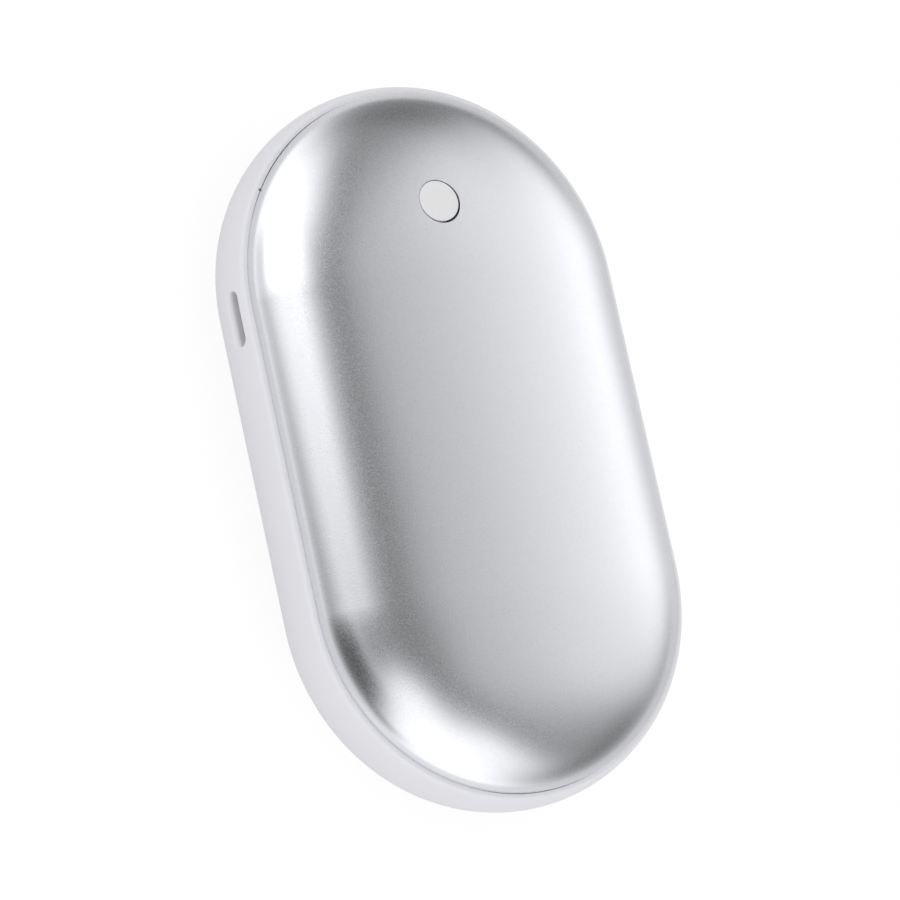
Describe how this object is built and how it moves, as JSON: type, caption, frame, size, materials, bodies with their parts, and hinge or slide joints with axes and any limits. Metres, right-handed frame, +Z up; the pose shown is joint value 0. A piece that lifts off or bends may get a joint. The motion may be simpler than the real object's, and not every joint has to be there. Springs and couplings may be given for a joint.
{
  "type": "rechargeable hand warmer",
  "caption": "Pocket hand warmer: domed metal shells on a white belt, with a press button and a charging port in the side.",
  "frame": {"origin": "under the middle of the body, on the surface that the back rests on", "axes": "+Z up out of the button's face, +Y along the body towards the end with the button, -X out of the side with the charging port"},
  "size_m": [0.058, 0.1, 0.0228],
  "materials": {
    "blasted_aluminium": "fine bead-blasted, clear anodised",
    "white_belt": "smooth moulded satin",
    "white_button": "smooth satin, slightly translucent",
    "dark_liner": "moulded matte",
    "glue": "cured bead",
    "switch_black": "moulded",
    "spring_metal": "plain",
    "plated_steel": "tin-plated",
    "circuit_board": "solder mask over copper",
    "port_black": "moulded",
    "contact_gold": "gold-plated",
    "chip_black": "moulded",
    "led_lens": "clear resin over phosphor",
    "capacitor_tan": "plain",
    "resistor_black": "plain",
    "solder": "tinned",
    "cell_foil": "laminated foil",
    "nickel": "plain",
    "amber_tape": "thin film",
    "red_wire": "insulated",
    "black_wire": "insulated",
    "grey_foam": "closed-cell foam",
    "heater_film": "thin film",
    "track_metal": "etched",
    "white_wire": "insulated",
    "sensor_bead": "coated bead",
    "bare_wire": "tinned",
    "screw_steel": "zinc-plated"
  },
  "bodies": {
    "housing": {"front_shell": "blasted_aluminium", "back_shell": "blasted_aluminium", "mid_frame": "white_belt", "front_liner": "dark_liner", "back_liner": "dark_liner", "front_glue": "glue", "back_glue": "glue", "switch_dome": "spring_metal", "switch_body": "switch_black", "switch_cover": "plated_steel", "switch_legs": "plated_steel", "main_pcb": "circuit_board", "usb_shell": "plated_steel", "usb_insulator": "port_black", "usb_contacts": "contact_gold", "charger_chip": "chip_black", "controller_chip": "chip_black", "heater_transistors": "chip_black", "status_leds": "led_lens", "capacitors": "capacitor_tan", "resistors": "resistor_black", "solder_joints": "solder", "battery_cell": "cell_foil", "cell_tabs": "nickel", "cell_tape": "amber_tape", "protection_board": "circuit_board", "protection_chips": "chip_black", "battery_lead_red": "red_wire", "battery_lead_black": "black_wire", "front_foam": "grey_foam", "back_foam": "grey_foam", "front_heater": "heater_film", "back_heater": "heater_film", "front_heater_track": "track_metal", "back_heater_track": "track_metal", "front_heater_leads": "white_wire", "back_heater_leads": "white_wire", "thermistor": "sensor_bead", "thermistor_leads": "bare_wire", "frame_screws": "screw_steel", "board_screws": "screw_steel"},
    "button": {"button_cap": "white_button", "switch_plunger": "switch_black"}
  },
  "joints": [
    {"name": "button_press", "type": "slide", "parent": "housing", "child": "button", "axis": [0, 0, -1], "range_m": [0, 0.0003], "stiffness_N_per_m": 6400, "deforming": ["switch_dome"]}
  ]
}
